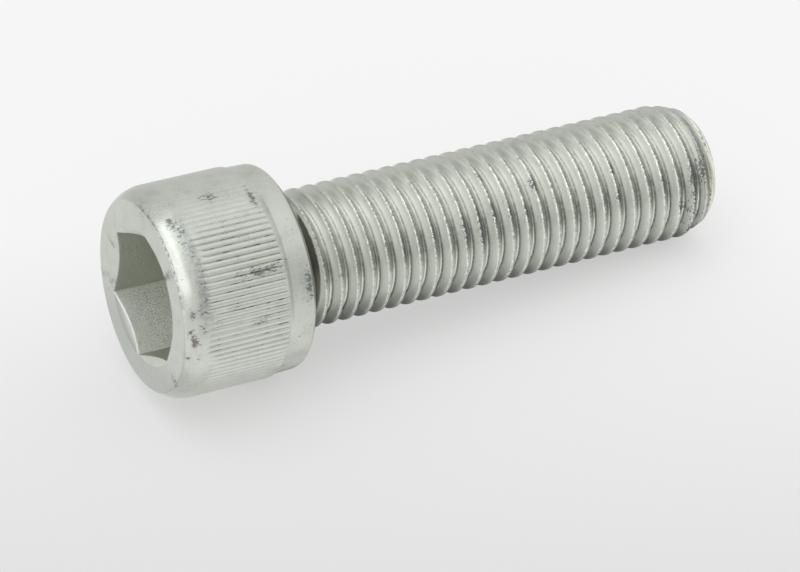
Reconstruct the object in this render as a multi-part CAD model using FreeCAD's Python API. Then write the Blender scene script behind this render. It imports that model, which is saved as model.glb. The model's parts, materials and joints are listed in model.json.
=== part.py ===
import FreeCAD, Part
import math
import os

os.makedirs("parts", exist_ok=True)

# Hexagon socket head cap screw, M16 x 2, 55 mm long, threaded over its whole length.
# The screw is drawn standing: its axis is Z, the bearing face under the head is at Z = 0,
# the head is below it and the tip above. It is laid down on its side at the end.
# All sizes are in millimetres. Angles are in degrees, from +X towards +Y about the axis.

Vector = FreeCAD.Vector

# Head
head_height = 16.0
head_blank_radius = 11.9        # turned surface on both sides of the knurl
head_crown_length = 2.8         # the rounded front edge, along the axis
head_crown_drop = 0.9           # and how far it falls to the flat face round the socket
head_rear_drop = 0.07           # the plain band narrows by this towards the shank
head_rear_bevel = 0.75          # bevelled rear edge

# Straight knurl
knurl_ridges = 104
knurl_rise = 0.265              # height of the ridges above the turned surface
knurl_depth = 0.25              # depth of the grooves from the tops of the ridges
knurl_front_gap = 2.8           # from the front face to the ridges
knurl_rear_gap = 3.4            # plain band from the bearing face to the ridges

# Hexagon socket
socket_across_flats = 14.03
socket_depth = 8.0
socket_floor_depth = 1.0        # shallow cone below the flats
socket_mouth_slope = 24.5       # slope of the countersink at the mouth, from the face plane

# Shank and thread
shank_length = 55.0
thread_major_radius = 7.95
thread_pitch = 2.0
thread_depth = 1.177
thread_flank_angle = 30.0       # of each flank, from the plane across the axis
thread_root_flat = 0.33         # width of the flat at the bottom of the groove
thread_start = 1.64             # height of a groove's middle at angle 0
steps_per_turn = 30             # the helix is followed in this many flat steps a turn

# Neck under the head
neck_drop = 0.65                # the neck lies this far below the thread's crest
neck_land = 0.15                # plain length between the bevel and the cone up to the crest
neck_cone_slope = 45.0
bearing_clearance = 0.2         # the bearing face starts this far outside the thread's crest

# Tip
tip_taper_length = 3.7          # from the last full crest to the end
tip_taper_drop = 0.97           # the slow taper falls this far below the crest
tip_bevel = 1.0                 # bevel at the end face, along the axis and in radius

# How it lies
roll_angle = 1.3                # the whole screw turned about its own axis

# Radii and heights that follow
head_face_radius = head_blank_radius - head_crown_drop
knurl_crest_radius = head_blank_radius + knurl_rise
thread_root_radius = thread_major_radius - thread_depth
neck_radius = thread_major_radius - neck_drop
bearing_inner_radius = thread_major_radius + bearing_clearance
underhead_bevel = bearing_inner_radius - neck_radius
neck_length = underhead_bevel + neck_land
tip_taper_radius = thread_major_radius - tip_taper_drop
end_radius = tip_taper_radius - tip_bevel


def revolved(edges):
    """A solid turned about the Z axis from the edges of a closed outline in the XZ plane."""
    outline = Part.Wire(edges)
    return Part.Face(outline).revolve(Vector(0, 0, 0), Vector(0, 0, 1), 360)


def chain(points):
    """Straight edges through points given as (radius, height)."""
    ends = [Vector(radius, 0, height) for radius, height in points]
    return [Part.makeLine(a, b) for a, b in zip(ends, ends[1:])]


def arc(start, middle, end):
    """An arc through three points given as (radius, height)."""
    three = [Vector(radius, 0, height) for radius, height in (start, middle, end)]
    return Part.Arc(*three).toShape()


def head_blank():
    """The turned head with its rounded front edge, and the neck with its bevel."""
    front = -head_height
    crown_end = front + head_crown_length
    crown_radius = (head_crown_length ** 2 + head_crown_drop ** 2) / (2 * head_crown_drop)
    half_length = head_crown_length / 2
    crown_middle_radius = (head_blank_radius - crown_radius
                           + math.sqrt(crown_radius ** 2 - half_length ** 2))
    crown = arc((head_face_radius, front),
                (crown_middle_radius, crown_end - half_length),
                (head_blank_radius, crown_end))

    band_start = -knurl_rear_gap
    rear_radius = head_blank_radius - head_rear_drop

    edges = chain([(0, front), (head_face_radius, front)])
    edges.append(crown)
    edges += chain([(head_blank_radius, crown_end), (head_blank_radius, band_start),
                    (rear_radius, -head_rear_bevel), (rear_radius - head_rear_bevel, 0),
                    (bearing_inner_radius, 0), (neck_radius, underhead_bevel),
                    (neck_radius, neck_length), (0, neck_length), (0, front)])
    return revolved(edges)


def knurled_band(start, end):
    """A toothed ring: a narrow flat on each ridge and grooves between them with 45 degree sides."""
    root_radius = knurl_crest_radius - knurl_depth
    half_step = math.pi / knurl_ridges
    groove_half = knurl_depth / knurl_crest_radius
    points = []
    for ridge in range(knurl_ridges):
        groove = 2 * half_step * ridge
        for radius, angle in ((root_radius, groove),
                              (knurl_crest_radius, groove + groove_half),
                              (knurl_crest_radius, groove + 2 * half_step - groove_half)):
            points.append(Vector(radius * math.cos(angle), radius * math.sin(angle), start))
    outline = Part.makePolygon(points + [points[0]])
    return Part.Face(outline).extrude(Vector(0, 0, end - start))


def head():
    """The head: turned blank, knurl and hexagon socket."""
    start = -head_height + knurl_front_gap
    end = -knurl_rear_gap
    beyond = knurl_crest_radius + 1.0
    inside = knurl_crest_radius - 2 * knurl_depth
    blank = head_blank()
    gap = revolved(chain([(inside, start), (beyond, start), (beyond, end), (inside, end),
                          (inside, start)]))
    return blank.cut(gap).fuse(knurled_band(start, end)).cut(socket())


def socket():
    """The hexagonal hole with its countersunk mouth and shallow conical floor."""
    front = -head_height
    flat_radius = socket_across_flats / 2
    corner_radius = flat_radius / math.cos(math.radians(30))
    corners = []
    for corner in range(7):
        angle = math.radians(60 * corner)
        corners.append(Vector(corner_radius * math.cos(angle), corner_radius * math.sin(angle),
                              front))
    hexagon = Part.Face(Part.makePolygon(corners)).extrude(Vector(0, 0, socket_depth))

    slope = math.tan(math.radians(socket_mouth_slope))
    depth = corner_radius * slope
    countersink = revolved(chain([(0, front), (corner_radius, front), (0, front + depth),
                                  (0, front)]))

    floor = front + socket_depth
    point = revolved(chain([(0, floor), (flat_radius, floor), (0, floor + socket_floor_depth),
                            (0, floor)]))
    return hexagon.fuse(countersink).fuse(point)


def shank_envelope():
    """What the thread is turned down to: the cone at the neck and the tapered tip."""
    clear_radius = thread_major_radius + 1.0
    cone_slope = math.tan(math.radians(neck_cone_slope))
    cone_end = neck_length + (clear_radius - neck_radius) / cone_slope
    taper_start = shank_length - tip_taper_length
    taper_end = shank_length - tip_bevel
    taper_slope = (thread_major_radius - tip_taper_radius) / (taper_end - taper_start)
    clear_end = taper_start - (clear_radius - thread_major_radius) / taper_slope
    return revolved(chain([(0, neck_length), (neck_radius, neck_length),
                           (clear_radius, cone_end), (clear_radius, clear_end),
                           (tip_taper_radius, taper_end), (end_radius, shank_length),
                           (0, shank_length), (0, neck_length)]))


def thread_lines():
    """Corners of the thread's section over one pitch, as (radius, height above the crest start)."""
    flank = math.tan(math.radians(thread_flank_angle))
    crest = thread_pitch - thread_root_flat - 2 * thread_depth * flank
    return [(thread_major_radius, 0.0),
            (thread_major_radius, crest),
            (thread_root_radius, crest + thread_depth * flank),
            (thread_root_radius, crest + thread_depth * flank + thread_root_flat)]


def threaded_rod(low, high):
    """A rod threaded from below low to above high, in short flat steps along the helix."""
    lines = thread_lines()
    groove_middle = lines[2][1] + thread_root_flat / 2
    base = thread_start - groove_middle
    base -= thread_pitch * math.ceil((base - low) / thread_pitch + 2)
    count = steps_per_turn * math.ceil((high - base) / thread_pitch + 1)
    vertices = {}
    edges = {}

    def vertex(line, step):
        """The corner of one line of the thread at one step. Line 4 is line 0 one turn further on."""
        if line == 4:
            line, step = 0, step + steps_per_turn
        key = (line, step)
        if key not in vertices:
            height = base + thread_pitch * step / steps_per_turn
            radius = 0.0
            if line != "axis":
                radius, rise = lines[line]
                height += rise
            angle = 2 * math.pi * step / steps_per_turn
            vertices[key] = Vector(radius * math.cos(angle), radius * math.sin(angle), height)
        return key

    def face(*keys):
        """A flat face that shares its edges with its neighbours."""
        sides = []
        for a, b in zip(keys, keys[1:] + keys[:1]):
            if (b, a) in edges:
                sides.append(edges[b, a])
            elif (a, b) in edges:
                sides.append(edges[a, b])
            else:
                edges[a, b] = Part.makeLine(vertices[a], vertices[b])
                sides.append(edges[a, b])
        return Part.Face(Part.Wire(sides))

    faces = []
    for step in range(count):
        for line in range(4):
            a, b = vertex(line, step), vertex(line + 1, step)
            c, d = vertex(line + 1, step + 1), vertex(line, step + 1)
            if line in (0, 2):
                faces.append(face(a, d, c, b))
            else:
                faces += [face(a, d, b), face(d, c, b)]
    for start in (0, count):
        for step in range(start, start + steps_per_turn):
            a, b = vertex("axis", step), vertex(0, step)
            c, d = vertex(0, step + 1), vertex("axis", step + 1)
            faces += [face(a, b, c), face(a, c, d)]
        side = [vertex("axis", start)]
        side += [vertex(line, start) for line in range(5)]
        side.append(vertex("axis", start + steps_per_turn))
        faces.append(face(*side))
    shell = Part.Shell(faces)
    return Part.Solid(shell)


def laid_down(screw):
    """The screw at rest on its side: on a knurled ridge and on the crests near the tip."""
    head_contact = -knurl_rear_gap
    tip_contact = shank_length - tip_taper_length
    tilt = math.atan2(knurl_crest_radius - thread_major_radius, tip_contact - head_contact)

    # The screw's X points up, its axis along +X and down by the tilt.
    along = Vector(math.cos(tilt), 0, -math.sin(tilt))
    upward = Vector(math.sin(tilt), 0, math.cos(tilt))
    sideways = along.cross(upward)
    turn = FreeCAD.Matrix(upward.x, sideways.x, along.x, 0,
                          upward.y, sideways.y, along.y, 0,
                          upward.z, sideways.z, along.z, 0,
                          0, 0, 0, 1)
    height = head_contact * math.sin(tilt) + knurl_crest_radius * math.cos(tilt)
    lowest_x = -head_height * math.cos(tilt) - head_face_radius * math.sin(tilt)
    highest_x = shank_length * math.cos(tilt) + end_radius * math.sin(tilt)

    screw.rotate(Vector(0, 0, 0), Vector(0, 0, 1), roll_angle)
    placement = FreeCAD.Placement(turn)
    placement.Base = Vector(-(lowest_x + highest_x) / 2, 0, height)
    screw.Placement = placement.multiply(screw.Placement)
    return screw


shank = threaded_rod(neck_length, shank_length).common(shank_envelope())
laid_down(head().fuse(shank)).exportStep("parts/socket_cap_screw.step")
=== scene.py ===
import json
import math

import bmesh
import bpy
from mathutils import Matrix, Vector, noise


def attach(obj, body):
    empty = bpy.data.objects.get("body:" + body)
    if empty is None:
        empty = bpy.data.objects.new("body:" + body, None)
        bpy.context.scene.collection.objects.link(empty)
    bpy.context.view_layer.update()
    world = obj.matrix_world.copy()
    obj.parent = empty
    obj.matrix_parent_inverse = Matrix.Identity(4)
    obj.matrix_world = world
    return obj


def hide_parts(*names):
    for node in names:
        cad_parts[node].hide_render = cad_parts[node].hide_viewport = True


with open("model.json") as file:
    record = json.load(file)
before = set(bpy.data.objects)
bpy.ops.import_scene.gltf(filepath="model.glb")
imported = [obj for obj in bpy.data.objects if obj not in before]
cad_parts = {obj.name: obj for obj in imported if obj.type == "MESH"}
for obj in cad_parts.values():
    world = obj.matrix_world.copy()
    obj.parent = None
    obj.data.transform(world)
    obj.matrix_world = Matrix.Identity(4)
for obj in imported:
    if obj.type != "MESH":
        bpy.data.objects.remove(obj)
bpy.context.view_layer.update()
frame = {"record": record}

# The screw is shaped standing, in millimetres: its axis is Z, the bearing face under the head
# is at height 0, the head is below it and the tip above. Angles run from X towards Y.
MILLIMETRE = 0.001

# Head
HEAD_HEIGHT = 16.0
FACE = -HEAD_HEIGHT             # height of the flat face round the socket
FACE_RADIUS = 11.0
FACE_RINGS = (9.2, 10.2)
EDGE_SOFTNESS = 0.12            # between the face and the rounded front edge
CROWN_STEPS = 12
BAND_RADIUS = 11.9
BAND_REAR_RADIUS = 11.83
REAR_ROUNDING = 0.75

# Knurl
RIDGES = 104
RIDGE_RADIUS = 12.15
GROOVE_DEPTH = 0.19
KNURL_START = -13.2
KNURL_END = -3.4
KNURL_ROWS = 15
RIDGE_ROUND_OFF = 0.8
LEFT_ON_TOP = 0.12              # share of a groove's depth that is left on the top of the head
WORN_TOP = ((290, 330), (2, 42))        # degrees over which the wear of the top sets in and ends
WORN_SIDE = ((88, 108), (140, 170))     # and that of a patch low on the side

# From one groove to the next: where the vertices stand and how deep they lie, as shares
GROOVE_PLACES = (0.0, 0.13, 0.27, 0.5, 0.73, 0.87)
GROOVE_SHAPE = (1.0, 0.45, 0.12, 0.0, 0.1, 0.3)
HEAD_STEPS = RIDGES * len(GROOVE_PLACES)

# Hexagon socket
ACROSS_FLATS = 14.03
SOCKET_DEPTH = 8.0
SOCKET_POINT = 1.0
SOCKET_END = FACE + SOCKET_DEPTH + SOCKET_POINT
WALL_SHARES = (0, 0.03, 0.28, 0.53, 0.78, 0.97, 1.0)    # rings up the wall, from the floor
MOUTH_SLOPE = math.radians(24.5)
MOUTH_ROUNDING = 0.09
MOUTH_RADIUS = ACROSS_FLATS / 2 / math.cos(math.radians(30))

# Thread
PITCH = 2.0
CREST_RADIUS = 7.95
ROOT_RADIUS = 6.773
GROOVE_START = 1.64             # height of a groove's middle at angle 0
THREAD_STEPS = 96
SEAM_OFFSET = 0.03              # the fine seam lies this far beyond the crest's middle
CREST_UNEVENNESS = 0.02
CREST_WEAR = 0.012
TURNED_UNEVENNESS = 0.03        # of the crests that are turned down at the tip

# Neck and tip
SHANK_LENGTH = 55.0
NECK_RADIUS = 7.3
NECK_END = 1.0
FILLET_OUTER = 8.15
RUN_OUT = 0.9                   # the first groove deepens over this height
TAPER_START = 51.3
TAPER_END = 54.0
TAPER_RADIUS = 6.98
TAPER_SLOPE = (CREST_RADIUS - TAPER_RADIUS) / (TAPER_END - TAPER_START)
END_RADIUS = 5.98
END_ROUNDING = 0.1
END_RINGS = (0, 2.0, 4.0)

ROLL = math.radians(1.3)        # how far the screw is turned about its own axis as it lies
SHARP_EDGE = math.radians(38)   # edges sharper than this are shaded as edges
SAME_POINT = 0.0004             # vertices nearer than this become one


def screw_placement():
    """From the standing screw in millimetres to where it lies in the frame, in metres."""
    mounts = {mount["name"]: mount for mount in frame["record"]["mounts"]}
    along = Vector(mounts["thread"]["axis"]).normalized()
    upward = along.cross(Vector((0, 1, 0))).normalized()
    sideways = along.cross(upward)
    face_centre = Vector(mounts["hexagon_socket"]["pos_m"])
    turn = Matrix((upward, sideways, along)).transposed().to_4x4()
    origin = face_centre + along * HEAD_HEIGHT * MILLIMETRE
    return Matrix.Translation(origin) @ turn @ Matrix.Rotation(ROLL, 4, "Z")


PLACEMENT = screw_placement()


def smooth(value, low, high):
    """0 below low, 1 above high and an even curve between."""
    share = min(max((value - low) / (high - low), 0.0), 1.0)
    return share * share * (3 - 2 * share)


def polar(point):
    """Distance from the axis and angle about it."""
    return math.hypot(point.x, point.y), math.atan2(point.y, point.x)


def place(vertex, radius, angle, height):
    """Moves a vertex to a radius, an angle and a height."""
    vertex.co = (radius * math.cos(angle), radius * math.sin(angle), height)


def arc(centre, radius, start, end, count):
    """Points (radius, height) of an arc, from one angle to another, in degrees."""
    points = []
    for step in range(count + 1):
        angle = math.radians(start + (end - start) * step / count)
        points.append((centre[0] + radius * math.cos(angle), centre[1] + radius * math.sin(angle)))
    return points


def spin(bm, rows, steps, **options):
    """Spins an open outline, given as (radius, height), round the axis."""
    points = [bm.verts.new((radius, 0.0, height)) for radius, height in rows]
    lines = [bm.edges.new(pair) for pair in zip(points, points[1:])]
    bmesh.ops.spin(bm, geom=points + lines, cent=(0, 0, 0), axis=(0, 0, 1),
                   angle=math.tau, steps=steps, **options)


# The head

def socket_rows():
    """From the middle of the socket's floor up its wall to the face, as if the socket were round."""
    floor = FACE + SOCKET_DEPTH
    flat = ACROSS_FLATS / 2
    rows = [(0, floor + SOCKET_POINT), (flat / 2, floor + SOCKET_POINT / 2), (flat - 0.05, floor)]
    rows += [(MOUTH_RADIUS, floor - SOCKET_DEPTH * share) for share in WALL_SHARES]
    return rows + [(MOUTH_RADIUS + 0.04, FACE + 0.012), (MOUTH_RADIUS + 0.14, FACE)]


def crown_rows():
    """The face and the rounded front edge, which runs smoothly into the ridges."""
    length = KNURL_START - FACE
    drop = RIDGE_RADIUS - FACE_RADIUS
    radius = (length ** 2 + drop ** 2) / (2 * drop)
    steepest = math.degrees(math.asin(length / radius))
    crown = arc((RIDGE_RADIUS - radius, KNURL_START), radius, -steepest, 0, CROWN_STEPS)
    rows = [(ring, FACE) for ring in FACE_RINGS]
    rows += [(FACE_RADIUS - EDGE_SOFTNESS, FACE), (FACE_RADIUS + 0.01, FACE + 0.03)]
    return rows + crown[1:-1]


def knurl_rows():
    """The ridges and the rounded step down to the plain band."""
    length = KNURL_END - RIDGE_ROUND_OFF - KNURL_START
    rows = [(RIDGE_RADIUS, KNURL_START + length * row / KNURL_ROWS) for row in range(KNURL_ROWS + 1)]
    return rows + [(RIDGE_RADIUS - 0.02, KNURL_END - 0.35), (RIDGE_RADIUS - 0.07, KNURL_END - 0.15),
                   (BAND_RADIUS + 0.03, KNURL_END - 0.04), (BAND_RADIUS, KNURL_END + 0.06),
                   (BAND_RADIUS - 0.03, KNURL_END + 1.3)]


def rear_rows():
    """The rounded rear edge, the bearing face and the fillet up to the neck."""
    rounding_centre = (BAND_REAR_RADIUS - REAR_ROUNDING, -REAR_ROUNDING)
    rows = arc(rounding_centre, REAR_ROUNDING, 0, 90, 6)
    rows += [(9.6, 0), (FILLET_OUTER + 0.1, 0)]
    fillet = FILLET_OUTER - NECK_RADIUS
    rows += arc((FILLET_OUTER, fillet), fillet, 270, 180, 5)
    return rows + [(NECK_RADIUS, NECK_END - 0.06)]


def hexagon_radius(angle):
    """Distance from the axis to the hexagon's wall, with a corner at angle 0."""
    from_flat = (angle % math.radians(60)) - math.radians(30)
    return ACROSS_FLATS / 2 / math.cos(from_flat)


def mouth_height(wall):
    """Height of the edge between the countersink and the hexagon's wall, so far from the axis."""
    return FACE + (MOUTH_RADIUS - wall) * math.tan(MOUTH_SLOPE)


def on_mouth_edge(point):
    """Whether a point lies on the edge between the hexagon's walls and its countersink."""
    radius, angle = polar(point)
    wall = hexagon_radius(angle)
    return abs(radius - wall) < 0.003 and abs(point.z - mouth_height(wall)) < 0.003


def shape_socket(vertex, angle, height):
    """Pulls a round wall in to the hexagon and lets its mouth follow the countersink."""
    floor = FACE + SOCKET_DEPTH
    wall = hexagon_radius(angle)
    share = (floor - height) / SOCKET_DEPTH
    place(vertex, wall, angle, floor + (mouth_height(wall) - floor) * share)


def knurl_left(angle, height):
    """How much of a groove's depth is left: little on the top of the head, and less in patches."""
    patch = noise.noise(Vector((math.cos(angle) * 2.2, math.sin(angle) * 2.2, height * 0.16)))
    turn = math.degrees(angle) % 360
    top_starts, top_ends = WORN_TOP
    side_starts, side_ends = WORN_SIDE
    on_top = 1 - smooth(turn, *top_ends) if turn < 180 else smooth(turn, *top_starts)
    on_side = smooth(turn, *side_starts) * (1 - smooth(turn, *side_ends))
    left = 1 - (1 - LEFT_ON_TOP) * on_top - 0.5 * on_side
    return min(1.0, left * (1 + 0.5 * patch))


def shape_knurl(vertex, radius, angle, height):
    """Cuts the grooves between the ridges. They run out unevenly on the rounded front edge."""
    ridge, corner = divmod(round(angle / math.tau * HEAD_STEPS), len(GROOVE_PLACES))
    uneven = noise.noise(Vector((ridge * 0.73, 3.1, height * 0.12)))
    start = KNURL_START - 0.6 + 0.9 * noise.noise(Vector((ridge * 0.41, 7.7, 0)))
    depth = GROOVE_SHAPE[corner] * GROOVE_DEPTH * knurl_left(angle, height) * (1 + 0.3 * uneven)
    depth *= smooth(height, start, start + 1.4)
    depth *= 1 - smooth(height, KNURL_END - 0.16, KNURL_END + 0.02)
    place(vertex, radius - depth, math.tau * (ridge + GROOVE_PLACES[corner]) / RIDGES, height)


def build_head(bm):
    """The head with its socket and knurl, down to the open end of the neck."""
    rows = socket_rows() + crown_rows() + knurl_rows() + rear_rows()
    spin(bm, rows, HEAD_STEPS, use_merge=True)
    bmesh.ops.remove_doubles(bm, verts=bm.verts, dist=SAME_POINT)
    for vertex in bm.verts:
        radius, angle = polar(vertex.co)
        height = vertex.co.z
        if ACROSS_FLATS / 2 < radius <= MOUTH_RADIUS + 0.002 and height < -1:
            shape_socket(vertex, angle, height)
        elif radius > FACE_RADIUS + 0.3 and height < KNURL_END + 0.05:
            shape_knurl(vertex, radius, angle, height)
    bmesh.ops.remove_doubles(bm, verts=bm.verts, dist=0.001)
    mouth = [edge for edge in bm.edges if all(on_mouth_edge(vertex.co) for vertex in edge.verts)]
    bmesh.ops.bevel(bm, geom=mouth, offset=MOUTH_ROUNDING, offset_type="OFFSET", affect="EDGES",
                    segments=2, profile=0.5, material=-1)


# The thread

def thread_outline():
    """One pitch of the thread, as (place along the axis from the groove's middle, radius).

    A rolled crest has two lips with a fine seam between them, the rougher lip towards the head."""
    crest = CREST_RADIUS
    lips = [(-0.25, crest - 0.16), (-0.195, crest - 0.06), (-0.12, crest - 0.01),
            (-0.05, crest - 0.005), (0.0, crest - 0.015), (SEAM_OFFSET, crest - 0.035),
            (0.065, crest - 0.02), (0.12, crest), (0.18, crest - 0.035), (0.245, crest - 0.15)]
    root = [(0.80, ROOT_RADIUS + 0.08), (0.9, ROOT_RADIUS + 0.005), (1.0, ROOT_RADIUS - 0.01)]
    top, foot = lips[-1], root[0]
    flank = [(top[0] + (foot[0] - top[0]) * share, top[1] + (foot[1] - top[1]) * share)
             for share in (0.33, 0.67)]
    near_side = [(-place_along, radius) for place_along, radius in reversed(flank + root)]
    return [(place_along + PITCH / 2, radius) for place_along, radius in
            near_side + lips + flank + root]


def envelope(height):
    """What the thread is turned down to, at the neck and at the tip."""
    neck = NECK_RADIUS + max(0.0, height - NECK_END)
    if height < TAPER_END:
        share = (height - TAPER_START) / (TAPER_END - TAPER_START)
        tip = CREST_RADIUS + (TAPER_RADIUS - CREST_RADIUS) * share
    else:
        tip = max(TAPER_RADIUS - (height - TAPER_END), END_RADIUS)
    return min(neck, tip)


def shape_thread(vertex):
    """Roughens the crests, turns the thread down at both ends and lets it run out at the neck."""
    radius, angle = polar(vertex.co)
    height = vertex.co.z
    around = Vector((math.cos(angle), math.sin(angle), height * 0.35))
    if radius > CREST_RADIUS - 0.2:
        radius += CREST_UNEVENNESS * noise.noise(around * 3.2) - CREST_WEAR
    limit = envelope(height)
    if height > NECK_END + 1:
        limit -= TURNED_UNEVENNESS * abs(noise.noise(around * 4))
    radius = min(radius, limit)
    if radius < NECK_RADIUS:
        filled = 1 - smooth(height, NECK_END + 0.05, NECK_END + RUN_OUT)
        radius += (NECK_RADIUS - radius) * filled
    place(vertex, min(radius, CREST_RADIUS), angle, height)


def cut(bm, height, keep_below):
    """Cuts the rod square off at a height."""
    side = 1 if keep_below else -1
    bmesh.ops.bisect_plane(bm, geom=bm.verts[:] + bm.edges[:] + bm.faces[:], dist=0.0005,
                           plane_co=(0, 0, height), plane_no=(0, 0, side), clear_outer=True)


def build_thread(bm):
    """The threaded rod from the neck to the closed tip: one turn, repeated pitch by pitch."""
    first = GROOVE_START - 2 * PITCH
    rows = [(radius, first + place_along) for place_along, radius in thread_outline()]
    spin(bm, rows, THREAD_STEPS, dvec=(0, 0, PITCH / THREAD_STEPS))
    turn = bm.verts[:] + bm.edges[:] + bm.faces[:]
    for number in range(1, math.ceil((SHANK_LENGTH - first) / PITCH) + 1):
        copy = bmesh.ops.duplicate(bm, geom=turn)["geom"]
        points = [item for item in copy if isinstance(item, bmesh.types.BMVert)]
        bmesh.ops.translate(bm, verts=points, vec=(0, 0, PITCH * number))
    bmesh.ops.remove_doubles(bm, verts=bm.verts, dist=0.004)
    for vertex in bm.verts:
        shape_thread(vertex)
    cut(bm, NECK_END, keep_below=False)
    cut(bm, SHANK_LENGTH - 2 * END_ROUNDING, keep_below=True)
    close_end(bm)


def close_end(bm):
    """The end face with its softly rounded rim, joined to the cut end of the rod."""
    rim = END_RADIUS - END_ROUNDING
    rows = [(ring, SHANK_LENGTH) for ring in (*END_RINGS, rim - 0.5)]
    rows += arc((rim - 0.04, SHANK_LENGTH - END_ROUNDING), END_ROUNDING, 90, 45, 3)
    spin(bm, rows, THREAD_STEPS, use_merge=True)
    bmesh.ops.remove_doubles(bm, verts=bm.verts, dist=SAME_POINT)
    rings = [edge for edge in bm.edges
             if edge.is_boundary and all(vertex.co.z > TAPER_END for vertex in edge.verts)]
    bmesh.ops.bridge_loops(bm, edges=rings)


# Marks of wear, as (height, angle in degrees, radius, length along, length around, strength)

DARK_MARKS = [
    # Face and rounded front edge
    (-14.45, 14, 11.9, 0.35, 0.8, 1.0),
    (-15.95, -4, 11.1, 0.3, 1.6, 0.5),
    (-15.1, 67, 11.6, 0.4, 0.6, 1.1),
    (-14.1, 76, 12.0, 0.4, 0.7, 0.9),
    (-14.3, 65, 12.0, 0.5, 1.2, 0.6),
    (-14.6, 92, 11.8, 0.35, 0.8, 0.6),
    (-15.95, 120, 10.95, 0.4, 0.6, 0.9),
    (-15.95, 42, 9.0, 0.4, 0.7, 0.8),
    (-15.9, -112, 7.9, 0.5, 0.9, 0.8),
    (-15.95, -76, 8.7, 0.3, 0.4, 0.8),
    (-15.95, -108, 10.0, 0.3, 0.5, 0.7),
    (-15.4, 4, 11.4, 0.7, 3.4, 0.35),
    # Plain band and knurl
    (-1.0, 65, 11.85, 0.6, 1.9, 1.9),
    (-8.7, 3, 12.1, 1.3, 1.1, 1.15),
    (-4.2, 10, 12.1, 0.4, 1.9, 1.5),
    (-6.2, 52, 12.1, 3.0, 0.8, 1.15),
    (-9.9, 67, 12.1, 0.8, 0.5, 0.9),
    (-7.1, 78, 12.1, 1.0, 0.9, 0.7),
    (-4.1, 120, 12.0, 1.2, 0.6, 1.0),
    (-8.5, 26, 12.1, 1.8, 1.6, 0.35),
    # Thread
    (30.6, 36, 7.9, 0.35, 0.8, 1.4),
    (21.0, 59, 7.9, 0.5, 1.6, 1.1),
    (23.1, 60, 7.9, 0.5, 2.4, 1.1),
    (24.9, 52, 7.9, 0.4, 1.3, 0.9),
    (26.9, 57, 7.9, 0.4, 1.3, 0.8),
    (29.1, 57, 7.9, 0.4, 1.0, 0.7),
    (24.5, 20, 7.9, 0.4, 0.9, 0.6),
    (31.8, -15, 7.8, 0.5, 0.7, 0.7),
    (35.7, -8, 7.8, 0.6, 0.8, 0.7),
    (40.8, 39, 7.9, 0.35, 0.5, 1.2),
    (40.9, 62, 7.9, 0.35, 0.7, 1.2),
    (13.2, 62, 7.9, 0.4, 1.6, 0.7),
    (17.1, 55, 7.9, 0.4, 1.4, 0.7),
    (47.0, 60, 7.9, 0.4, 1.4, 0.6),
    (48.0, 7, 7.8, 0.6, 0.7, 0.6),
    # Tip
    (49.2, 84, 7.8, 0.4, 0.9, 0.9),
    (50.4, 92, 7.6, 0.5, 0.9, 0.8),
    (50.9, 66, 7.7, 0.35, 2.6, 1.2),
    (52.5, 56, 7.5, 0.35, 2.0, 1.2),
    (53.6, 84, 7.1, 0.3, 2.0, 0.8),
    (54.1, 30, 6.9, 0.2, 1.6, 0.9),
    (51.5, 125, 7.6, 1.6, 3.5, 0.6),
]
BROWN_MARKS = [
    (-15.0, 83, 11.7, 0.4, 0.9, 1.05),
    (-15.4, 77, 11.4, 0.3, 0.6, 0.9),
    (-15.6, 94, 11.4, 0.3, 0.5, 0.7),
    (-15.9, 41, 8.9, 0.3, 0.5, 0.9),
]
MARK_REACH = 3                  # in lengths of the mark
MARK_DEPTH = 1.2
STRONGEST_MARK = 1.5


def mark_strength(marks, radius, angle, height):
    """How strongly the marks reach a point of the surface."""
    total = 0.0
    for mark_height, mark_angle, mark_radius, along, around, strength in marks:
        rise = (height - mark_height) / along
        if abs(rise) > MARK_REACH or abs(radius - mark_radius) > MARK_DEPTH:
            continue
        turn = (angle - math.radians(mark_angle) + math.pi) % math.tau - math.pi
        sideways = turn * mark_radius / around
        total += strength * math.exp(-rise * rise - sideways * sideways)
    return min(total, STRONGEST_MARK)


def add_marks(bm):
    """Keeps the strength of the marks at each vertex, for the finish."""
    layers = [(bm.verts.layers.float.new(name), marks)
              for name, marks in (("dark_marks", DARK_MARKS), ("brown_marks", BROWN_MARKS))]
    for vertex in bm.verts:
        radius, angle = polar(vertex.co)
        for layer, marks in layers:
            vertex[layer] = mark_strength(marks, radius, angle, vertex.co.z)


def build_screw():
    """The whole screw as one closed mesh."""
    rod = bmesh.new()
    build_thread(rod)
    rod_mesh = bpy.data.meshes.new("rod")
    rod.to_mesh(rod_mesh)
    rod.free()

    bm = bmesh.new()
    build_head(bm)
    bm.from_mesh(rod_mesh)
    bpy.data.meshes.remove(rod_mesh)
    rings = [edge for edge in bm.edges if edge.is_boundary]
    bmesh.ops.bridge_loops(bm, edges=rings)
    bmesh.ops.recalc_face_normals(bm, faces=bm.faces)
    add_marks(bm)
    bmesh.ops.transform(bm, matrix=PLACEMENT @ Matrix.Scale(MILLIMETRE, 4), verts=bm.verts)
    for face in bm.faces:
        face.smooth = True

    mesh = bpy.data.meshes.new("socket_cap_screw_finished")
    bm.to_mesh(mesh)
    open_edges = sum(not edge.is_manifold for edge in bm.edges)
    triangles = sum(len(face.verts) - 2 for face in bm.faces)
    print("screw:", triangles, "triangles,", open_edges, "open edges")
    bm.free()
    mesh.set_sharp_from_angle(angle=SHARP_EDGE)
    screw = bpy.data.objects.new("socket_cap_screw_finished", mesh)
    bpy.context.scene.collection.objects.link(screw)
    return screw


# Finishes

def feed(socket, given):
    """Links a value to a socket, or sets the socket to a number, colour or vector."""
    if isinstance(given, Value):
        given.tree.links.new(given.socket, socket)
    else:
        socket.default_value = given


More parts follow.
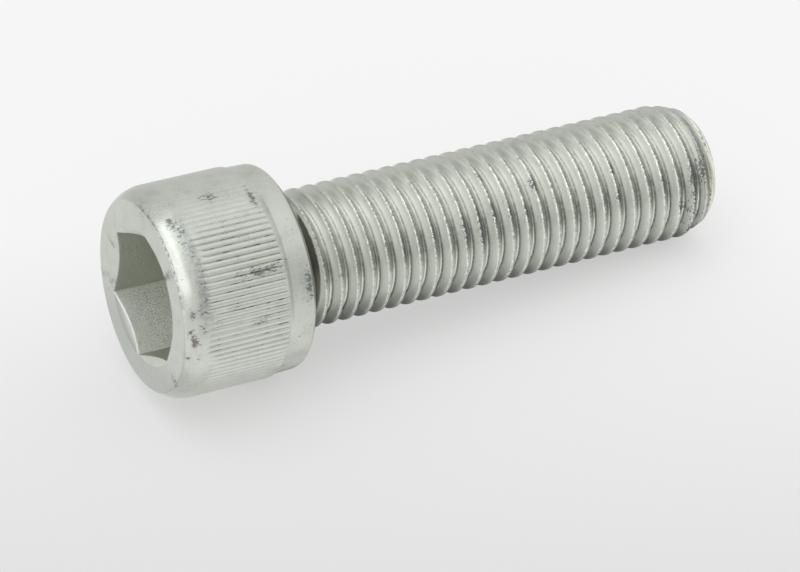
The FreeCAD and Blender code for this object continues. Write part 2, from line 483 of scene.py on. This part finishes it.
class Value:
    """What a shader socket gives, for use in plain sums and products."""

    def __init__(self, tree, socket=None):
        self.tree = tree
        self.socket = socket

    def node(self, kind, settings, inputs, output=0):
        """Adds a node with these settings, and with values, numbers or colours on its inputs."""
        made = self.tree.nodes.new(kind)
        for name, setting in settings.items():
            setattr(made, name, setting)
        for name, given in inputs.items():
            feed(made.inputs[name], given)
        return Value(self.tree, made.outputs[output])

    def maths(self, operation, *others, clamp=False):
        """A sum or function of this value, and of others where it takes more than one."""
        return self.node("ShaderNodeMath", {"operation": operation, "use_clamp": clamp},
                         dict(enumerate((self, *others))))

    def __add__(self, other):
        return self.maths("ADD", other)

    def __sub__(self, other):
        return self.maths("SUBTRACT", other)

    def __rsub__(self, other):
        return self.maths("MULTIPLY_ADD", -1.0, other)

    def __mul__(self, other):
        return self.maths("MULTIPLY", other)

    def __truediv__(self, other):
        return self.maths("DIVIDE", other)

    __radd__ = __add__
    __rmul__ = __mul__

    def clamped(self):
        """The same value, kept between 0 and 1."""
        return self.maths("MULTIPLY", 1.0, clamp=True)

    def part(self, index):
        """One of a vector's three numbers."""
        return self.node("ShaderNodeSeparateXYZ", {}, {"Vector": self}, output=index)

    def dot(self, direction):
        """How far a vector reaches along a direction."""
        return self.node("ShaderNodeVectorMath", {"operation": "DOT_PRODUCT"},
                         {0: self, 1: direction}, output=1)

    def stretched(self, share):
        """A place whose height counts less, so that noise made from it is longer along the axis."""
        return self.node("ShaderNodeMapping", {}, {"Vector": self, "Scale": (1.0, 1.0, share)})

    def noise(self, scale, detail, roughness):
        """Noise of that many features a millimetre, from about 0.2 to 0.8."""
        return self.node("ShaderNodeTexNoise", {},
                         {"Vector": self, "Scale": scale, "Detail": detail, "Roughness": roughness})

    def step(self, low, high):
        """0 below low and 1 above high, smooth between."""
        return self.node("ShaderNodeMapRange", {"interpolation_type": "SMOOTHSTEP"},
                         {"Value": self, "From Min": low, "From Max": high})

    def fall(self, low, high):
        """1 below low and 0 above high, smooth between."""
        return 1 - self.step(low, high)

    def window(self, middle, half_width, softness):
        """1 within half_width of the middle, falling to 0 over the softness outside it."""
        return (self - middle).maths("ABSOLUTE").fall(half_width, half_width + softness)

    def mixed(self, under, over):
        """Colour: under where this is 0, over where it is 1."""
        return self.node("ShaderNodeMix", {"data_type": "RGBA"}, {0: self, 6: under, 7: over},
                         output=2)


def painted(colour, coats):
    """A colour under coats of paint, each given as (strength, colour)."""
    for strength, paint in coats:
        colour = strength.mixed(colour, paint)
    return colour


def start_material(name):
    """A new material, its main shader and the coordinates of the object it is on."""
    material = bpy.data.materials.new(name)
    material.use_nodes = True
    shader = material.node_tree.nodes["Principled BSDF"]
    coordinates = Value(material.node_tree).node("ShaderNodeTexCoord", {}, {}, output=3)
    return material, shader, coordinates


def connect(shader, **inputs):
    """Feeds the shader's inputs, whose names are written with _ for a space."""
    for name, given in inputs.items():
        feed(shader.inputs[name.replace("_", " ")], given)


BARE = (0.61, 0.635, 0.575, 1.0)
PALE = (0.80, 0.82, 0.77, 1.0)
# Painted light: paler flanks and roots of the thread, and the socket wall that faces upwards
PAINTED_LIGHT_PALE = (0.92, 0.94, 0.88, 1.0)
SOCKET_OLIVE = (0.25, 0.27, 0.19, 1.0)
SMUDGE_BLUE = (0.25, 0.28, 0.29, 1.0)
# Duller tone: random clouds in the coating, and painted shade on the countersink, face and crown
DULL_TONE_AND_SHADE = (0.40, 0.425, 0.40, 1.0)
# Bright: a scratch, and painted glints on the thread's lips and in the socket
BRIGHT_FLECK = (0.95, 0.95, 0.92, 1.0)
RIM_YELLOW = (0.86, 0.84, 0.66, 1.0)
CREST_GREY = (0.30, 0.31, 0.27, 1.0)
# Dark: crest seams, scars and fine lines, and painted shade in the thread's grooves and at the
# knurl's shoulder
DARK_SEAM_AND_SHADE = (0.12, 0.125, 0.10, 1.0)
SPECK_DARK = (0.15, 0.165, 0.165, 1.0)
NECK_DARK = (0.06, 0.06, 0.045, 1.0)
STAIN_BROWN = (0.23, 0.21, 0.185, 1.0)

MIDDLE = 0.5                    # of the noise
FACING_START = -40              # the angle facing begins here, in degrees, and repeats
HALF_TURN = 180                 # after this
LOW_CORNER = -ACROSS_FLATS * 0.289      # x of the corners at the top of the two low walls
COUNTERSINK_START = 7.1         # from the axis, square to a flat
KNURL_MIDDLE = (KNURL_START + KNURL_END) / 2
KNURL_HALF = 4.4

# Places across one pitch of the thread, in millimetres from the crest's middle
LIP = -0.2                      # the rougher lip, towards the head
SEAM = 0.07
FLANK_FOOT = -0.79

FIRST_GROOVE = 1.95             # height of its middle on the side that is seen

# How deep the grain looks, in metres, and how strongly it shows
RELIEF_DEPTH = 0.00003
RELIEF_STRENGTH = 0.6


class ScrewSurface:
    """Where a point of the screw lies, in the screw's own millimetres, with the noise there.

    across is 0 in the middle of a crest and half a pitch, either way, in the groove. facing is
    the angle about the axis in degrees, from -40 to 140, and repeats on the far side. The parts
    on_thread, in_knurl and so on are 1 there and 0 elsewhere."""

    def __init__(self, coordinates):
        location, rotation, _ = PLACEMENT.decompose()
        self.spot = coordinates.node(
            "ShaderNodeMapping", {"vector_type": "TEXTURE"},
            {"Vector": coordinates, "Location": location, "Rotation": rotation.to_euler(),
             "Scale": (MILLIMETRE,) * 3})
        self.x, self.y, self.height = [self.spot.part(index) for index in range(3)]
        self.radius = (self.x * self.x + self.y * self.y).maths("SQRT")
        turns = self.y.maths("ARCTAN2", self.x) / math.tau
        facing = ((turns - FACING_START / 360) * 2).maths("FRACT")
        self.facing = facing * HALF_TURN + FACING_START
        across = ((self.height - GROOVE_START) / PITCH - turns).maths("FRACT")
        self.across = across * PITCH - PITCH / 2

        self.grain = self.spot.noise(4.0, 2.0, 0.6)
        self.fine_grain = self.spot.noise(7.5, 1.0, 0.5)
        self.cloud = self.spot.noise(0.5, 3.0, 0.6)
        self.fleck = self.spot.noise(2.2, 2.0, 0.6)
        self.along_grooves = self.spot.stretched(0.3)
        self.ragged = self.wandering(0.42, 0.4)

        self.on_thread = (self.height.step(NECK_END + 0.1, NECK_END + 0.5)
                          * self.height.fall(SHANK_LENGTH - 0.1, SHANK_LENGTH - 0.02))
        self.on_wide_part = self.radius.step(9.0, 10.0)
        self.in_knurl = self.height.window(KNURL_MIDDLE, KNURL_HALF, 0.6) * self.on_wide_part
        self.on_crown = (self.height.fall(FACE + 1.6, FACE + 2.6)
                         * self.radius.step(FACE_RADIUS - 0.1, FACE_RADIUS))
        self.from_axis = self.distance_across_flats()
        self.in_socket = (self.from_axis.fall(ACROSS_FLATS / 2 + 0.02, ACROSS_FLATS / 2 + 0.06)
                          * self.height.fall(SOCKET_END - 0.2, SOCKET_END)
                          * self.height.step(FACE + 0.05, FACE + 0.1))

    def distance_across_flats(self):
        """Distance from the axis, measured square to the nearest flat of the hexagon."""
        distance = self.y.maths("ABSOLUTE")
        for angle in (math.radians(30), math.radians(-30)):
            other = self.x * math.cos(angle) + self.y * math.sin(angle)
            distance = distance.maths("MAXIMUM", other.maths("ABSOLUTE"))
        return distance

    def wandering(self, coarse, fine):
        """The place across the thread, for edges that wander by these shares of the noise."""
        return self.across + (self.fleck - MIDDLE) * coarse + (self.fine_grain - MIDDLE) * fine


def base_colour(at):
    """The plain coating, paler and duller in soft clouds."""
    tone = ((at.cloud - MIDDLE) * 0.75 + (at.grain - MIDDLE) * 0.4 + 0.46).clamped()
    colour = tone.step(0.5, 1.0).mixed(BARE, PALE)
    return tone.fall(0.0, 0.5).mixed(colour, DULL_TONE_AND_SHADE)


def worn_crests(at):
    """The ragged worn tops of the crests, and of the ones that are turned down at the tip."""
    crests = at.ragged.step(-0.27, -0.01) * at.across.fall(0.34, 0.5) * at.on_thread
    worn_level = CREST_RADIUS - (at.height - TAPER_START) * TAPER_SLOPE - 0.14
    turned = (at.radius - worn_level).step(0.0, 0.06)
    turned = turned * at.height.step(TAPER_START - 1.0, TAPER_START + 0.4)
    return crests.maths("MAXIMUM", turned * 0.55)


def painted_lip_glints(at):
    """Painted glints: a bright broken line along the lips that point towards the head."""
    line = at.wandering(0.22, 0.2).window(LIP, 0.03, 0.05) * at.facing.step(-8.0, 30.0)
    broken = 0.2 + 0.4 * at.spot.noise(7.0, 2.0, 0.7).step(0.38, 0.64)
    return line * at.on_thread * broken


def thread_coats(at, crests, lips):
    """Painted light on the flanks and roots, worn crests with painted shade, painted shade in the
    grooves, and fine lines along the thread.
    """
    across, facing, fleck, on_thread = at.across, at.facing, at.fleck, at.on_thread
    # Crest wear, and painted shade that darkens the crests further over one range of angles
    crest_wear_and_shade = 0.2 + 0.8 * facing.window(40.0, 30.0, 14.0) + 0.3 * facing.window(44.0, 8.0, 14.0)
    crest_grain = 0.75 + (at.grain - MIDDLE) * 1.6

    # Flanks and root: painted light makes the flanks paler over a range of angles
    flank = across.window(0.0, 0.8, 0.06) * (1 - crests) * on_thread
    flank = flank * facing.step(-16.0, 12.0) * facing.fall(118.0, 142.0)
    # Painted shade on the far flank
    painted_far_flank_shade = across.window(0.55, 0.2, 0.1) * facing.window(46.0, 10.0, 22.0) * on_thread
    # Painted light: a paler line along the root beyond about 80 degrees
    painted_root_light = (1 - across.window(0.0, 0.83, 0.05)) * facing.step(78.0, 92.0) * on_thread

    # Painted shade on the sides of the groove, where they mirror dark surroundings
    beside_lip = ((across + at.ragged) * 0.5).window(0.22, 0.12, 0.1)
    painted_groove_shade = beside_lip + (1 - across.window(0.0, 0.76, 0.08))
    painted_groove_shade = painted_groove_shade * facing.window(64.0, 5.0, 17.0) * on_thread
    painted_groove_shade = painted_groove_shade * (0.34 + 0.2 * fleck.step(0.4, 0.6) + 0.2 * at.cloud.step(0.4, 0.6))
    # Painted shade towards the foot of the near flank
    painted_flank_foot_shade = across.window(-0.5, 0.32, 0.06) * facing.window(90.0, 15.0, 20.0) * on_thread
    painted_flank_foot_shade = painted_flank_foot_shade * (1.35 - across.step(-0.8, -0.3))

    # Fine lines; the one just under the lip is painted shade
    painted_lip_shade = across.window(-0.25, 0.06, 0.08) * facing.window(1.0, 9.0, 14.0) * on_thread
    seam = (across + (fleck - MIDDLE) * 0.15).window(SEAM, 0.03, 0.07) * on_thread
    seam = seam * crest_wear_and_shade * fleck.step(0.4, 0.62)
    foot_line = (across + (fleck - MIDDLE) * 0.08).window(FLANK_FOOT, 0.04, 0.06) * on_thread
    foot_line = foot_line * (0.7 * facing.step(-14.0, 14.0) + 0.3 * facing.step(40.0, 72.0))
    foot_line = foot_line * (0.5 + 0.3 * fleck.step(0.35, 0.6))
    end_rim = at.height.window(TAPER_END + 0.15, 0.12, 0.12)
    return [(flank * (0.75 + at.cloud * 0.4), PAINTED_LIGHT_PALE),
            (painted_far_flank_shade * 0.12, DARK_SEAM_AND_SHADE),
            (painted_root_light * 0.45, PAINTED_LIGHT_PALE),
            (crests * crest_wear_and_shade * crest_grain, CREST_GREY),
            (painted_groove_shade, DARK_SEAM_AND_SHADE),
            (painted_flank_foot_shade * 0.4, DARK_SEAM_AND_SHADE),
            (painted_lip_shade * 0.22, DARK_SEAM_AND_SHADE),
            (lips, BRIGHT_FLECK),
            (seam * 0.2, DARK_SEAM_AND_SHADE),
            (foot_line, DARK_SEAM_AND_SHADE),
            (end_rim * 0.7, RIM_YELLOW)]


def knurl_coats(at):
    """Paler ridges, and broken dark lines in the grooves, from how far they lie below the ridges."""
    groove = at.radius.fall(RIDGE_RADIUS - 0.2, RIDGE_RADIUS - 0.05) * at.in_knurl
    dash = at.along_grooves.noise(2.6, 2.0, 0.6).step(0.52, 0.66)
    return [(at.in_knurl * (1 - groove) * 0.1, PALE),
            (groove * dash * 0.8, DARK_SEAM_AND_SHADE)]


def socket_coats(at):
    """Painted light and shade in the socket: the walls darkened towards olive as painted shade, and
    the wall that faces upwards painted paler, with painted glints and olive grains.
    """
    low_walls = at.in_socket * at.x.fall(LOW_CORNER - 0.15, LOW_CORNER)
    # The wall that faces upwards: painted light, with painted glints and olive grains
    upward_wall = low_walls * at.y.fall(-0.1, 0.1)
    granular = upward_wall * (0.35 + 0.65 * (at.height + at.cloud * 3).step(FACE + 2.2, FACE + 4.8))
    # Painted shade on every wall but the upward one, most on the other low wall
    painted_wall_shade = at.in_socket * 0.21 + (low_walls - upward_wall) * 0.35 - upward_wall
    return [(upward_wall * 0.55, PAINTED_LIGHT_PALE),
            (granular * at.fine_grain.step(0.52, 0.62) * 0.9, BRIGHT_FLECK),
            (granular * at.fine_grain.fall(0.34, 0.46) * 0.5, SOCKET_OLIVE),
            (painted_wall_shade, SOCKET_OLIVE)]


def face_coats(at):
    """Painted shade on the lower countersink, the lower face, part of the crown and the knurl's
    shoulder; the dark line round the face; a scratch.
    """
    # Painted shade on the countersink's lower side
    countersink = at.from_axis.step(COUNTERSINK_START, COUNTERSINK_START + 0.1)
    countersink = countersink * at.radius.fall(MOUTH_RADIUS, MOUTH_RADIUS + 0.1)
    countersink = countersink * at.height.fall(FACE + 0.7, FACE + 0.8)
    countersink = countersink * at.x.fall(-4.6, -4.2) * at.y.fall(-0.6, 0.0)
    # Painted shade on the lower part of the face
    painted_face_shade = at.height.fall(FACE + 0.02, FACE + 0.1) * at.x.fall(-7.5, -2.5)
    # Painted shade that dims the crown's highlight over a range of angles
    painted_crown_shade = at.on_crown * at.facing.window(21.0, 9.0, 9.0)
    # Painted shadow along the knurl's shoulder
    painted_shoulder_shadow = at.height.window(KNURL_END + 0.25, 0.12, 0.15) * at.on_wide_part
    painted_shoulder_shadow = painted_shoulder_shadow * at.facing.window(46.0, 26.0, 16.0)
    face_edge = at.radius.window(FACE_RADIUS + 0.07, 0.07, 0.08) * at.facing.window(26.0, 30.0, 14.0)
    face_edge = face_edge * at.height.fall(FACE + 0.1, FACE + 0.3)
    face_edge = face_edge * (0.3 + 0.7 * at.fleck.step(0.42, 0.6))
    scratch = (at.x * 0.737 + at.y * 0.676).window(0.0, 0.015, 0.05) * at.x.step(0.0, 0.1)
    scratch = scratch * at.radius.window(9.6, 0.7, 0.2) * at.height.fall(FACE + 0.05, FACE + 0.1)
    return [(countersink * 0.95, DULL_TONE_AND_SHADE),
            (painted_face_shade * (0.5 + (at.cloud - MIDDLE) * 0.8), DULL_TONE_AND_SHADE),
            (painted_crown_shade * 0.2, DULL_TONE_AND_SHADE),
            (painted_shoulder_shadow * 0.27, DARK_SEAM_AND_SHADE),
            (face_edge * 0.65, DARK_SEAM_AND_SHADE),
            (scratch * 0.6, BRIGHT_FLECK)]


def neck_coats(at):
    """Shade in the first groove and round the head's rear edge."""
    groove = 1 - (at.across + (at.grain - MIDDLE) * 0.15).window(0.26, 0.58, 0.15)
    groove = groove * at.height.window(FIRST_GROOVE, 0.55, 0.15)
    groove = groove * at.facing.window(62.0, 46.0, 14.0)
    groove = groove * (0.95 - 0.15 * at.facing.window(92.0, 16.0, 16.0))
    rim = at.height.window(-0.05, 0.32, 0.14) * at.radius.step(11.0, 11.1)
    rim = rim * at.facing.window(42.0, 28.0, 14.0)
    return [(groove, NECK_DARK), (rim * 0.7, NECK_DARK)]


def vertex_marks(at, name):
    """The strength of the marks that the mesh keeps."""
    return at.spot.node("ShaderNodeAttribute", {"attribute_name": name}, {}, output=2)


def dark_flecks(at, dark_marks, knurl_edge, speckle, crests):
    """Small dark flecks everywhere, gathered where the surface is marked or worn."""
    tip_wear = at.height.step(46.0, 53.0)
    wear = dark_marks * 0.21 + tip_wear * 0.03 + crests * 0.05 + knurl_edge * 0.11
    return (speckle + wear - at.in_socket * 0.2).step(0.64, 0.77)


def zinc_flake_finish():
    """Matt silvery coating with fine grain, worn crests, dark seams and specks, with light and shade
    painted on the thread, in the socket, on the face and at the neck.
    """
    material, shader, coordinates = start_material("zinc_flake_coating")
    at = ScrewSurface(coordinates)
    crests = worn_crests(at)
    lips = painted_lip_glints(at)

    dark_marks = vertex_marks(at, "dark_marks")
    brown_marks = vertex_marks(at, "brown_marks")
    knurl_edge = at.height - at.facing.step(25.0, 45.0) * 0.5
    knurl_edge = knurl_edge.window(KNURL_START - 0.65, 0.3, 0.75)
    knurl_edge = knurl_edge * at.facing.window(42.0, 22.0, 14.0) * at.on_wide_part
    speckle = (at.spot.stretched(0.6).noise(3.4, 3.0, 0.66) * (1 - at.in_knurl)
               + at.along_grooves.noise(5.2, 3.0, 0.7) * at.in_knurl)
    flecks = dark_flecks(at, dark_marks, knurl_edge, speckle, crests)
    smudge = ((dark_marks + knurl_edge * 1.4) * (at.fleck * 2.2 - 0.6)).clamped()
    smudge = smudge * (0.5 - 0.42 * at.on_thread) * (1 - at.in_knurl * 0.6)
    scars = at.ragged.window(0.1, 0.2, 0.08) * at.on_thread * (dark_marks * 1.6).clamped()
    stains = (speckle + brown_marks * 0.32).step(0.6, 0.74) * (brown_marks * 1.4).clamped()

    colour = base_colour(at)
    colour = painted(colour, thread_coats(at, crests, lips) + knurl_coats(at) + socket_coats(at))
    colour = painted(colour, face_coats(at) + neck_coats(at))
    colour = painted(colour, [(smudge, SMUDGE_BLUE), (scars * 0.85, DARK_SEAM_AND_SHADE),
                              (flecks * 0.8, SPECK_DARK), (stains, STAIN_BROWN)])

    roughness = 0.36 + (at.grain - MIDDLE) * 0.2 + crests * 0.1 + flecks * 0.25
    roughness = roughness + at.in_socket * 0.2 - at.on_crown * 0.1
    relief = at.grain * 0.5 + at.fine_grain * 0.4
    relief = relief + (lips + crests) * (at.fine_grain * 1.3 + at.grain * 0.4)
    relief = relief * (1 - at.on_crown * 0.5) + at.in_socket * at.fine_grain * 3.0 - flecks * 0.8
    bump = relief.node("ShaderNodeBump", {},
                       {"Strength": RELIEF_STRENGTH, "Distance": RELIEF_DEPTH, "Height": relief})
    connect(shader, Base_Color=colour, Metallic=0.92, Roughness=roughness, Normal=bump)
    return material


# The floor's tones, and where its near one ends and its far one begins along the view, in metres
FLOOR_NEAR = (0.776, 0.776, 0.776, 1.0)
FLOOR_FAR = (0.922, 0.922, 0.922, 1.0)
NEAR_END = -0.047
FAR_START = 0.014

# What the screw mirrors of the floor
MIRRORED_FLOOR = (0.88, 0.88, 0.88, 1.0)
MIRRORED_FRONT = (1.0, 1.0, 1.0, 1.0)
NO_LIGHT = (0.0, 0.0, 0.0, 1.0)
UNDER_SCREW_SHADE = 0.85
UNDER_HEAD_SHADE = 0.2
FAR_FLOOR_SHADE = 0.2
PLAIN_SHARE = 0.5               # how far the floor that is seen is plain instead of lit


def mirrored_floor(coordinates, distance):
    """The floor as the screw mirrors it: bright in front, dark right under the screw."""
    along, sideways = coordinates.part(0), coordinates.part(1)
    shade = sideways.window(0.0, 0.004, 0.005) * along.window(0.006, 0.026, 0.008)
    shade = shade * UNDER_SCREW_SHADE + distance.step(0.03, 0.09) * FAR_FLOOR_SHADE
    under_head = sideways.window(-0.0095, 0.003, 0.006) * along.fall(-0.022, -0.006)
    shade = shade + under_head * UNDER_HEAD_SHADE
    front = sideways.window(-0.027, 0.01, 0.006) * along.fall(-0.016, -0.008)
    return shade.mixed(front.mixed(MIRRORED_FLOOR, MIRRORED_FRONT), NO_LIGHT)


def floor_finish(looking):
    """Pale matt floor, a little brighter towards the back, with a light shadow.

    Half of what is seen of it is lit and half is plain. What the screw mirrors is plain."""
    material, shader, coordinates = start_material("pale_floor")
    distance = coordinates.dot(Vector((looking.x, looking.y, 0)).normalized())
    share = distance.node("ShaderNodeMapRange", {},
                          {"Value": distance, "From Min": NEAR_END, "From Max": FAR_START})
    colour = share.mixed(FLOOR_NEAR, FLOOR_FAR)
    connect(shader, Base_Color=colour, Roughness=0.9, Specular_IOR_Level=0.0)

    seen = ray_kinds(colour, "Is Camera Ray")
    mirrored = ray_kinds(colour, "Is Glossy Ray", "Is Transmission Ray")
    plain = seen.mixed(mirrored_floor(coordinates, distance), colour)
    plain = plain.node("ShaderNodeEmission", {}, {"Color": plain, "Strength": 1.0})
    lit = Value(material.node_tree, shader.outputs[0])
    surface = lit.node("ShaderNodeMixShader", {},
                       {0: seen * PLAIN_SHARE + mirrored, 1: lit, 2: plain})
    feed(material.node_tree.nodes["Material Output"].inputs["Surface"], surface)
    return material


def ray_kinds(source, *names):
    """1 for rays of any of the named kinds, 0 for the others."""
    path = source.tree.nodes.new("ShaderNodeLightPath")
    found, *others = [Value(source.tree, path.outputs[name]) for name in names]
    for kind in others:
        found = found.maths("MAXIMUM", kind)
    return found


# The stage

FLOOR_RADIUS = 4.0
FLOOR_CORNERS = 96


def add_floor(looking):
    """A round floor under the screw."""
    bm = bmesh.new()
    bmesh.ops.create_circle(bm, cap_ends=True, segments=FLOOR_CORNERS, radius=FLOOR_RADIUS)
    mesh = bpy.data.meshes.new("floor")
    bm.to_mesh(mesh)
    bm.free()
    floor = bpy.data.objects.new("floor", mesh)
    bpy.context.scene.collection.objects.link(floor)
    floor.data.materials.append(floor_finish(looking))


def add_softbox(name, direction, long_side, distance, sizes, radiance, for_floor=True):
    """A rectangular lamp that faces the screw from a direction, with its long side along another.

    Its sizes are its width and its length. One that isn't for the floor only gives the metal
    its highlights."""
    width, length = sizes
    data = bpy.data.lights.new(name, "AREA")
    data.shape = "RECTANGLE"
    data.size = width
    data.size_y = length
    data.energy = radiance * math.pi * width * length
    lamp = bpy.data.objects.new(name, data)
    back = Vector(direction).normalized()
    side = Vector(long_side).cross(back).normalized()
    turn = Matrix((side, back.cross(side), back)).transposed()
    lamp.matrix_world = Matrix.Translation(back * distance) @ turn.to_4x4()
    lamp.visible_diffuse = for_floor
    bpy.context.scene.collection.objects.link(lamp)


# The background that is seen and mirrored, with patches as (direction, the cosine of the angle
# at which the patch begins, how much darker it is), and the even light that the rest gets
SEEN_BACKGROUND = 0.84
EVEN_LIGHT = 0.9
PATCHES = (((0.41, -0.90, 0.15), 0.72, 0.26),
           ((0.0, 1.0, 0.1), 0.55, 0.16),
           ((0.46, -0.30, 0.83), 0.75, -0.14))
PATCH_CORE = 0.98


def light_world():
    """Even light all round. Camera, glossy and transmitted rays see the pale background instead,
    dimmer towards the camera's side and at the back, and brighter in a patch above the tip."""
    world = bpy.data.worlds.new("studio")
    world.use_nodes = True
    bpy.context.scene.world = world
    background = world.node_tree.nodes["Background"]
    source = Value(world.node_tree)
    plain = ray_kinds(source, "Is Camera Ray", "Is Glossy Ray", "Is Transmission Ray")
    direction = source.node("ShaderNodeTexCoord", {}, {}, output=3)
    seen = SEEN_BACKGROUND
    for middle, start, dimming in PATCHES:
        towards = direction.dot(Vector(middle).normalized())
        seen = seen - towards.step(start, PATCH_CORE) * dimming
    feed(background.inputs["Color"], (1, 1, 1, 1))
    feed(background.inputs["Strength"], plain * (seen - EVEN_LIGHT) + EVEN_LIGHT)


CAMERA_LOCATION = Vector((-0.193694, -0.364192, 0.313344))
CAMERA_TARGET = Vector((-0.008372, -0.010621, 0.012270))
FOCAL_LENGTH = 201.54
SENSOR_WIDTH = 36.0


def add_camera():
    """Where the photograph was taken from. Gives back the direction it looks in."""
    forward = (CAMERA_TARGET - CAMERA_LOCATION).normalized()
    data = bpy.data.cameras.new("camera")
    data.sensor_width = SENSOR_WIDTH
    data.sensor_fit = "HORIZONTAL"
    data.lens = FOCAL_LENGTH
    camera = bpy.data.objects.new("camera", data)
    camera.location = CAMERA_LOCATION
    camera.rotation_euler = forward.to_track_quat("-Z", "Y").to_euler()
    bpy.context.scene.collection.objects.link(camera)
    bpy.context.scene.camera = camera
    return forward


screw = build_screw()
screw.data.materials.append(zinc_flake_finish())
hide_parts("socket_cap_screw")
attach(screw, "root")

looking = add_camera()
add_floor(looking)
light_world()
add_softbox("strip", (-0.665, -0.175, 0.725), (0.15, 0.97, 0.21), 0.7, (0.4, 1.1), 0.76,
            for_floor=False)
add_softbox("left_wall", (-1.0, 0.1, 0.12), (0, 1, 0), 0.9, (0.5, 1.0), 0.9, for_floor=False)
add_softbox("overhead", (-0.2, 0.1, 0.97), (0, 1, 0), 1.2, (1.0, 1.0), 0.6)
bpy.context.scene.view_settings.view_transform = "Standard"
